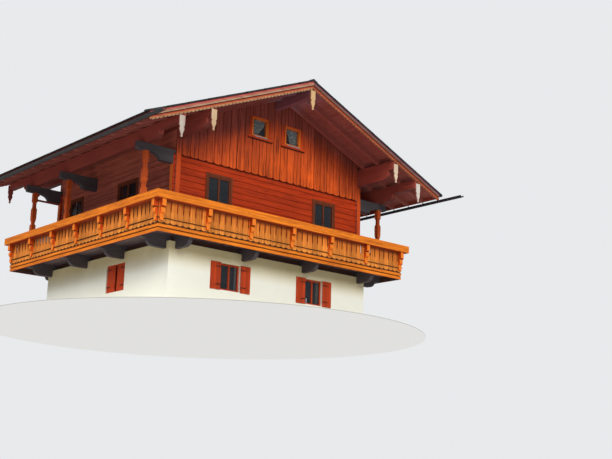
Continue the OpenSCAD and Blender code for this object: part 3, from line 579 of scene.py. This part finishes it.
# Gable cladding: broad cover boards with rounded lower ends, nailed over the gaps of the layer behind, which
# stands 45 mm before the logs. Beyond x = 4.22 the boards lie between the logs and the wall purlins
clad = {"from": -4.512, "pitch": 0.338, "boards": 27, "reach": 4.4, "gap": 0.020, "gapShare": (0.3, 0.7),
        "thick": 0.018, "thickWander": 0.003, "low": 5.422, "rise": 0.044, "layer": 0.045, "side": 4.22,
        "underRoof": 0.075}
nail = {"heights": (5.62, 6.2, 6.78, 7.36, 7.94), "off": 0.12, "wander": 0.01, "radius": 0.006, "proud": 0.002,
        "side": 4.15, "underRoof": 0.35, "windowX": 0.42, "windowZ": (6.72, 7.66)}


# Outlines of one strip of a board. Its lower end is low + rise * (1 - |sine|), one arch a board, its upper end
# follows the roof, and a window's hole leaves one outline below it and one above
def boardParts(x0, x1, left):
    middle = (x0 + x1) / 2
    beside = abs(middle) > clad["side"]
    xs = np.linspace(x0, x1, 9)
    lower = clad["low"] + clad["rise"] * (1 - np.abs(np.sin(math.pi * (xs - left) / clad["pitch"])))
    bottom = list(zip(xs, np.maximum(lower, gableTop) if beside else lower))
    peak = [0.0] if x0 < 0 < x1 else []
    top = [(x, sideTop if beside else roofZ(x) - clad["underRoof"]) for x in [x1, *peak, x0]]
    if not any(abs(middle - s * attic["x"]) < attic["holeW"] / 2 for s in (-1, 1)):
        return [bottom + top]
    z0, z1 = attic["holeZ"]
    return [bottom + [(x1, z0), (x0, z0)], [(x0, z1), (x1, z1)] + top]


# A nail keeps off the windows, the gable's sides and the roof
def nailFits(x, z):
    low, high = nail["windowZ"]
    clear = all(abs(x - s * attic["x"]) > nail["windowX"] or not low < z < high for s in (-1, 1))
    return clear and abs(x) < nail["side"] and z < roofZ(x) - nail["underRoof"]


rng = np.random.default_rng(7)
parts, nails = [], []
cuts = [s * attic["x"] + e * attic["holeW"] / 2 for s in (-1, 1) for e in (-1, 1)] + [-clad["side"], clad["side"]]
for i in range(clad["boards"]):
    left = clad["from"] + i * clad["pitch"]
    edges = [max(left + clad["gap"] * rng.uniform(*clad["gapShare"]), -clad["reach"]),
             min(left + clad["pitch"] - clad["gap"] * rng.uniform(*clad["gapShare"]), clad["reach"])]
    # Windows and corners cut the board into strips, but for a cut within 3 mm of its edge
    stops = sorted([*edges, *[c for c in cuts if edges[0] + 0.003 < c < edges[1] - 0.003]])
    thick = clad["thick"] + rng.uniform(-clad["thickWander"], clad["thickWander"])
    for x0, x1 in zip(stops[:-1], stops[1:]):
        parts += [prism(outline, -thick - clad["layer"], -clad["layer"]) for outline in boardParts(x0, x1, left)]
    middle = left + clad["pitch"] / 2
    for z in nail["heights"]:
        for x in (middle - nail["off"], middle + nail["off"]):
            if nailFits(x, z):
                nails.append((x + rng.uniform(-nail["wander"], nail["wander"]), -clad["layer"] - thick,
                              z + rng.uniform(-nail["wander"], nail["wander"])))
# Painted shade of the roof's overhang darkens the cover boards' upper part, through gableFade
coverMaterial = wood("cover_boards", tone["cover"], "z", ("x", clad["pitch"]), offset=clad["from"], side="y",
                     spread=0.22, knots=0.6, streak=1.5, contrast=1.15, groove=0.85, edge=1.0, cracks=0.9,
                     profile=gableFade)
newPiece("gable_cover_boards", [onWall(side, part) for side in (0, 2) for part in parts], coverMaterial)
iron = metal("black_iron", rgb(40, 38, 38), rgb(70, 56, 46), 0.7)
newPiece("cladding_nails", [onWall(side, heads(nails, nail["radius"], nail["proud"])) for side in (0, 2)], iron)


# Railing sides as the walls' ones: x runs right as seen from outside, y inward from the railing face
def onRail(side, part):
    x, y, z = np.asarray(part[0], float).T
    placed = [(x, y - railFront), (railX - y, railMiddle + x), (-x, railBack - y), (y - railX, railMiddle - x)][side]
    return np.column_stack([*placed, z]), part[1]


# Railing boards: one rounded end a board, low + rise * (distance from the middle over half a pitch) squared, and
# half of a slot with a pointed foot in each edge, given as heights and depths into the edge
plank = {"low": 2.607, "rise": 0.044, "top": 3.65, "gap": 0.008, "thick": 0.028, "least": 0.03, "margin": 0.09}
slot = np.array([(2.955, 0.0), (2.98, 0.009), (3.02, 0.021), (3.06, 0.029), (3.10, 0.032), (3.28, 0.032),
                 (3.315, 0.026), (3.34, 0.016), (3.352, 0.0)])
post = {"count": 7, "inset": 0.108, "half": 0.025, "deep": 0.05, "top": 3.59}
ledge = {"out": 0.038, "z": (2.777, 2.803)}
lowRail = {"deep": 0.045, "top": 2.665}
foot = {"out": 0.056, "outline": [(-0.048, 2.672), (0.048, 2.672), (0.062, 2.70), (0.074, 2.81), (-0.074, 2.81),
                                  (-0.062, 2.70)]}
# From its middle a railing reaches half, its boards end; slots is the share of the slots' full width, past how far
# the ledge runs on beyond half, and inset how far the low rail stops before it
railings = {
    "gable": {"sides": (0, 2), "half": railX, "end": railX, "pitch": gablePitch, "shift": gablePitch / 2,
              "slots": 0.6, "past": 0.038, "inset": 0.028},
    "eaves": {"sides": (1, 3), "half": 5.281, "end": 5.253, "pitch": eavesPitch, "shift": -eavesShift,
              "slots": 0.9, "past": 0.0, "inset": 0.073},
}


def railPlanks(centres, pitch, end, wide):
    parts = []
    for centre in centres:
        x0, x1 = (centre + s * (pitch - plank["gap"]) / 2 for s in (-1, 1))
        x0, x1 = -end if x0 < -end + plank["least"] else x0, end if x1 > end - plank["least"] else x1
        x = np.linspace(x0, x1, 9)
        lower = np.column_stack([x, plank["low"] + plank["rise"] * ((x - centre) / pitch * 2) ** 2])
        right, left = (np.column_stack([e + s * wide * slot[:, 1] * (abs(e) < end), slot[:, 0]])
                       for e, s in ((x1, -1), (x0, 1)))
        head = [(x1, plank["top"]), (x0, plank["top"])]
        parts.append(prism(np.vstack([lower, right, head, left[::-1]]), 0.0, plank["thick"]))
    return parts


# Near-black timber for the low rail behind the boards: painted shade
railTimber = wood("rail_timber", tone["lowRail"], "z", contrast=0.5)
for word, r in railings.items():
    half, thick = r["half"], plank["thick"]
    centres = np.arange(-23, 24) * r["pitch"] + r["shift"]  # a few too many, and those past the end are dropped
    parts = railPlanks(centres[np.abs(centres) < half - plank["margin"]], r["pitch"], r["end"], r["slots"])
    posts = np.linspace(-(half - post["inset"]), half - post["inset"], post["count"])
    parts.append(boxes([bar(x, post["half"], (thick, thick + post["deep"]), (deckZ, post["top"])) for x in posts]))
    parts.append(boxes([bar(0.0, half + r["past"], (-ledge["out"], 0.0), ledge["z"])]))
    newPiece("railing_boards_" + word, [onRail(side, part) for side in r["sides"] for part in parts],
             materials["railings_" + word], ["railings_" + word])
    # A low rail behind the boards, in lengths between the rail posts, shows between the rounded ends; its near-black
    # colour is painted shade
    reach = half - r["inset"]
    starts, stops = np.append(-reach, posts + post["half"]), np.append(posts - post["half"], reach)
    lengths = boxes([[x0, thick, deckZ, x1, thick + lowRail["deep"], lowRail["top"]]
                     for x0, x1 in zip(starts, stops)])
    newPiece("railing_rails_" + word, [onRail(side, lengths) for side in r["sides"]], railTimber)
    # Tapered feet that carry the trough brackets on over the ledge
    feet = [prism([(x + off, z) for off, z in foot["outline"]], -foot["out"], 0.0) for x in posts]
    newPiece("bracket_feet_" + word, [onRail(side, part) for side in r["sides"] for part in feet],
             materials["trough_brackets"])


# Roof: an underlay with courses of flat tiles, each lying on the course below, between raised verge strips.
# under gives the depths below the roof's plane, of a piece's foot and head or of the underlay's two faces
run = math.hypot(1, slope)                    # length of the slope for each metre out
tiles = {"length": 0.36, "exposure": 0.30, "width": 0.302, "gap": 0.004, "thick": 0.009, "under": (0.020, 0.030),
         "wobble": 0.0015, "eaveGap": 0.004, "ridgeGap": 0.02, "leastWidth": 0.03, "leastLength": 0.05}
verge = {"width": 0.11, "count": 9, "step": 0.85, "length": 0.90, "under": (0.036, 0.040), "thick": 0.058}
underlay = {"under": (0.045, 0.030)}


# Slabs on the slope. A corner lies s along the slope from the ridge and h off it, so its x is (s + h * slope) / run
# and its height the ridge's less s * slope / run plus h / run
def slopePieces(side, lower, upper, y0, y1, zLow, zHigh, thick):
    def corner(s, y, h):
        return np.column_stack([side * (s / run + h * slope / run), y, ridgeZ - s / run * slope + h / run])

    p = np.stack([corner(lower, y0, zLow), corner(lower, y1, zLow),
                  corner(upper, y1, zHigh), corner(upper, y0, zHigh),
                  corner(lower, y0, zLow + thick), corner(lower, y1, zLow + thick),
                  corner(upper, y1, zHigh + thick), corner(upper, y0, zHigh + thick)], axis=1)
    f = boxFaces if side > 0 else boxFaces[:, ::-1]
    return p.reshape(-1, 3), (f[None] + 8 * np.arange(len(lower))[:, None, None]).reshape(-1, 4)


def roofTiles(side):
    field = coverY - verge["width"]
    length = (coverX - tiles["eaveGap"]) * run
    rows, columns = int(math.ceil(length / tiles["exposure"])), int(round(2 * field / tiles["width"]))
    width = 2 * field / columns
    r, c = (v.ravel() for v in np.meshgrid(np.arange(rows), np.arange(columns + 1), indexing="ij"))
    lower = length - r * tiles["exposure"]
    upper = np.maximum(lower - tiles["length"], tiles["ridgeGap"])
    y0 = -field + (c - 0.5 * (r % 2)) * width  # every second course starts half a tile further on
    y1 = np.minimum(y0 + width - tiles["gap"], field)
    y0 = np.maximum(y0, -field)
    keep = (y1 - y0 > tiles["leastWidth"]) & (lower - upper > tiles["leastLength"])
    lower, upper, y0, y1 = lower[keep], upper[keep], y0[keep], y1[keep]
    wobble = np.random.default_rng(3).uniform(-tiles["wobble"], tiles["wobble"], len(lower))
    atFoot, atHead = tiles["under"]
    flat = slopePieces(side, lower, upper, y0, y1, wobble - atFoot, wobble - atHead, tiles["thick"])
    # Verge strips in lengths, each overlapping the next one down
    low = np.repeat(length - np.arange(verge["count"]) * verge["step"], 2)
    high = np.maximum(low - verge["length"], 0.0)
    ends = np.tile([-coverY, coverY - verge["width"]], verge["count"])
    atFoot, atHead = verge["under"]
    strips = slopePieces(side, low, high, ends, ends + verge["width"], low * 0 - atFoot, low * 0 - atHead,
                         verge["thick"])
    under, over = underlay["under"]
    outline = [(0, roofZ(0) - under), (side * coverX, roofZ(coverX) - under), (side * coverX, roofZ(coverX) - over),
               (0, roofZ(0) - over)]
    return [flat, strips, prism(outline if side > 0 else outline[::-1], -coverY, coverY)]


for side, word in ((-1, "left"), (1, "right")):
    newPiece("roof_tiles_" + word, roofTiles(side), materials["roof_cover_left"],
             ["roof_cover_" + word])

# Curtains: a gathered sheet hung from a rod and drawn to one side towards its foot, so that its pleats deepen.
# drawn gives, for each window, how much of the width is gathered at the foot, how that grows on the way down, and
# to which side
drape = {"flat": (0.80, 0.64), "across": 140, "down": 36, "pleats": 9, "drift": 0.6, "deepest": 0.06, "half": 0.31,
         "top": 7.565, "behind": 0.085, "drawn": {"left": (0.68, 1.9, -1), "right": (0.53, 0.5, 1)}}


# Each row is a sine wave whose depth is found by halving, so that its arc is as long as the flat sheet is wide
def curtain(name, x0, x1, top, gathered, power, sweep, y, outward):
    across, down = drape["across"], drape["down"]
    flatWidth, length = drape["flat"]
    s = np.linspace(0, 1, across)
    grid = np.zeros((down, across, 3))
    for j, share in enumerate(np.linspace(0, 1, down)):
        width = (x1 - x0) * (1 - gathered * share ** power)
        low, high = 0.0, drape["deepest"]
        for _ in range(24):
            middle = (low + high) / 2
            wave = middle * np.sin(2 * math.pi * drape["pleats"] * s + drape["drift"] * math.sin(3 * share))
            arc = np.hypot(np.diff(s * width), np.diff(wave)).sum()
            low, high = (middle, high) if arc < flatWidth else (low, middle)
        start = x0 if sweep < 0 else x1 - width
        grid[j] = np.column_stack([start + s * width, y - outward * wave, np.full(across, top - share * length)])
    index = np.arange(down * across).reshape(down, across)
    quads = np.stack([index[:-1, :-1], index[1:, :-1], index[1:, 1:], index[:-1, 1:]], axis=-1).reshape(-1, 4)
    piece = newPiece(name, [(grid.reshape(-1, 3), quads)], clothMaterial)


clothMaterial = cloth("net_curtain")
for side, word in ((-1, "front"), (1, "back")):
    for window, hand in ((-1, "left"), (1, "right")):
        x = window * attic["x"]
        curtain(f"curtain_{word}_{hand}", x - drape["half"], x + drape["half"], drape["top"], *drape["drawn"][hand],
                side * (halfL - drape["behind"]), side)

# Small parts of the windows, shutters and doors, built on the front wall's axes and turned to each side. y and z
# hold a low and a high value, y counted inward from the log face
paleMetal = metal("pale_aluminium", rgb(150, 160, 168), rgb(120, 128, 132), 0.3)
flashing = {"half": 0.30, "lip": {"y": (-0.140, -0.134), "z": (6.842, 6.875)},
            "sheet": {"y": (-0.134, -0.090), "z": (6.864, 6.870)}}
flashings = [boxes([bar(s * attic["x"], flashing["half"], **flashing[part]) for part in ("lip", "sheet")])
             for s in (-1, 1)]
newPiece("attic_sill_flashings", [onWall(side, part) for side in (0, 2) for part in flashings], paleMetal)

trim = {"off": 0.442, "half": 0.05, "y": (-0.088, -0.045), "z": (6.863, 7.62)}
trims = boxes([bar(s * attic["x"] + e * trim["off"], trim["half"], trim["y"], trim["z"])
               for s in (-1, 1) for e in (-1, 1)])
trimMaterial = wood("window_trims", tone["trims"], "z", ("x", clad["pitch"]), knots=0.3, cracks=0.4,
                    profile=trimFade)
newPiece("attic_window_trims", [onWall(side, trims) for side in (0, 2)], trimMaterial)

middleStrip = {"places": [(3, -2.69), (1, 2.69)], "half": 0.017, "y": (-0.006, 0.0), "z": (3.76, 4.90)}
newPiece("window_middle_strips",
         [onWall(side, boxes([bar(x, middleStrip["half"], middleStrip["y"], middleStrip["z"])]))
          for side, x in middleStrip["places"]], paleMetal)

# Shutters, open ones flat against the wall and closed ones in their window. windows holds wall sides and the
# windows' middles, off is a leaf's middle from there, half a ledge's half width, out how far the leaf's face stands
# outside the masonry, and strap the straps' starts from the left and the right leaf's middle and their length
shutter = {
    "open": {"windows": [(0, -1.95), (0, 1.95), (2, -1.95), (2, 1.95)], "off": 0.652, "half": 0.195, "out": 0.032,
             "heights": (1.09, 1.71), "strap": (-0.015, -0.215, 0.23)},
    "closed": {"windows": [(3, 0.87), (1, -0.87)], "off": 0.338, "half": 0.25, "out": -0.04,
               "heights": (1.13, 1.75), "strap": (-0.26, 0.0, 0.26)},
}
ledgeThick, ledgeHigh, strapThick, strapZ = 0.016, 0.07, 0.005, (0.02, 0.05)
shutterDetail, straps = [], []
for leaf in shutter.values():
    face = -masonryOut - leaf["out"]
    front = face - ledgeThick
    for side, window in leaf["windows"]:
        for hand in (-1, 1):
            x = window + hand * leaf["off"]
            start = x + leaf["strap"][0 if hand < 0 else 1]
            for z in leaf["heights"]:
                shutterDetail.append(onWall(side, boxes([bar(x, leaf["half"], (front, face), (z, z + ledgeHigh))])))
                straps.append(onWall(side, boxes([[start, front - strapThick, z + strapZ[0],
                                                   start + leaf["strap"][2], front, z + strapZ[1]]])))
newPiece("shutter_ledges", shutterDetail, materials["ground_shutters"])

# Entrance door: planks on its face, two strap hinges, and a lock plate with a handle on its neck
door = {"x": 1.70, "face": -masonryOut + 0.12, "half": 0.43, "planks": 6, "pitch": 0.1434, "gap": 0.002,
        "thick": 0.010, "z": (0.222, 2.158), "hinges": (0.45, 1.85), "hinge": (-0.43, -0.016, 0, 0.25, -0.010, 0.045),
        "lock": [(0.33, -0.016, 1.12, 0.375, -0.010, 1.36), (0.255, -0.055, 1.25, 0.37, -0.040, 1.27),
                 (0.343, -0.055, 1.25, 0.362, -0.016, 1.27)]}
doorLeft = door["x"] - door["half"]
planks = [boxes([[doorLeft + i * door["pitch"] + door["gap"], door["face"] - door["thick"], door["z"][0],
                  doorLeft + (i + 1) * door["pitch"] - door["gap"], door["face"], door["z"][1]]])
          for i in range(door["planks"])]
newPiece("entrance_door_planks", [onWall(1, part) for part in planks], materials["ground_shutters"])
for z in door["hinges"]:
    straps.append(onWall(1, moved([np.array(door["hinge"]) + [0, 0, z, 0, 0, z]], door["x"], door["face"])))
straps.append(onWall(1, moved(door["lock"], door["x"], door["face"])))

# Balcony doors: a plate, a handle and its neck on each
balconyHandle = [(0.01, -0.008, 3.55, 0.04, 0.0, 3.75), (-0.08, -0.048, 3.66, 0.035, -0.034, 3.678),
                 (0.017, -0.048, 3.66, 0.033, -0.008, 3.678)]
for side, x in ((3, 1.06), (1, -1.06)):
    straps.append(onWall(side, moved(balconyHandle, x, 0.0)))
newPiece("iron_fittings", straps, iron)
print("small parts made")

# Plain pale floor and soft studio light: each sun gives the way it shines, its strength and its spread in degrees
stage = {"radius": 8.6, "sides": 96, "floor": rgb(206, 204, 198), "glow": rgb(214, 214, 212),
         "seen": (rgb(232, 234, 236), 1.0), "fill": (rgb(240, 242, 250), 0.36)}
suns = {"front": ((0.25, 1.0, -0.5), 2.0, 28), "left": ((1.0, 0.15, -1.0), 2.4, 40),
        "bounce": ((0.45, 0.55, 0.7), 1.35, 60), "back": ((-0.6, -0.9, -0.8), 0.8, 60)}


# The floor is a disc, and a second one that faces down glows, so that the camera's low view sees it pale as well
def makeStage():
    angle = np.linspace(0, 2 * math.pi, stage["sides"] + 1)[:-1]
    for name, z, order, glow in (("floor", -0.002, 1, 0.0), ("floor_underside", -0.02, -1, 0.55)):
        mesh = bpy.data.meshes.new(name)
        ring = np.column_stack([stage["radius"] * np.cos(angle), stage["radius"] * np.sin(angle),
                                np.full(stage["sides"], z)])
        mesh.from_pydata(ring.tolist(), [], [list(range(stage["sides"]))[::order]])
        material = bpy.data.materials.new(name)
        material.use_nodes = True
        shader = material.node_tree.nodes["Principled BSDF"]
        shader.inputs["Base Color"].default_value = stage["floor"]
        shader.inputs["Roughness"].default_value = 0.9
        shader.inputs["Emission Color"].default_value = stage["glow"]
        shader.inputs["Emission Strength"].default_value = glow
        mesh.materials.append(material)
        floor = bpy.data.objects.new(name, mesh)
        bpy.context.scene.collection.objects.link(floor)
    world = bpy.data.worlds.new("studio")
    bpy.context.scene.world = world
    world.use_nodes = True
    tree = world.node_tree
    tree.nodes.clear()
    output = tree.nodes.new("ShaderNodeOutputWorld")
    path = tree.nodes.new("ShaderNodeLightPath")
    mix = tree.nodes.new("ShaderNodeMixShader")
    tree.links.new(path.outputs["Is Camera Ray"], mix.inputs[0])
    for socket, name in ((1, "fill"), (2, "seen")):
        background = tree.nodes.new("ShaderNodeBackground")
        background.inputs[0].default_value, background.inputs[1].default_value = stage[name]
        tree.links.new(background.outputs[0], mix.inputs[socket])
    tree.links.new(mix.outputs[0], output.inputs[0])
    for name, (towards, strength, spread) in suns.items():
        light = bpy.data.lights.new(name, "SUN")
        light.energy, light.angle = strength, math.radians(spread)
        lamp = bpy.data.objects.new(name, light)
        lamp.rotation_mode = "QUATERNION"
        lamp.rotation_quaternion = Vector(towards).to_track_quat("-Z", "Y")
        bpy.context.scene.collection.objects.link(lamp)


makeStage()
bpy.context.scene.view_settings.view_transform = "Standard"

bpy.context.view_layer.update()
print("stage made")
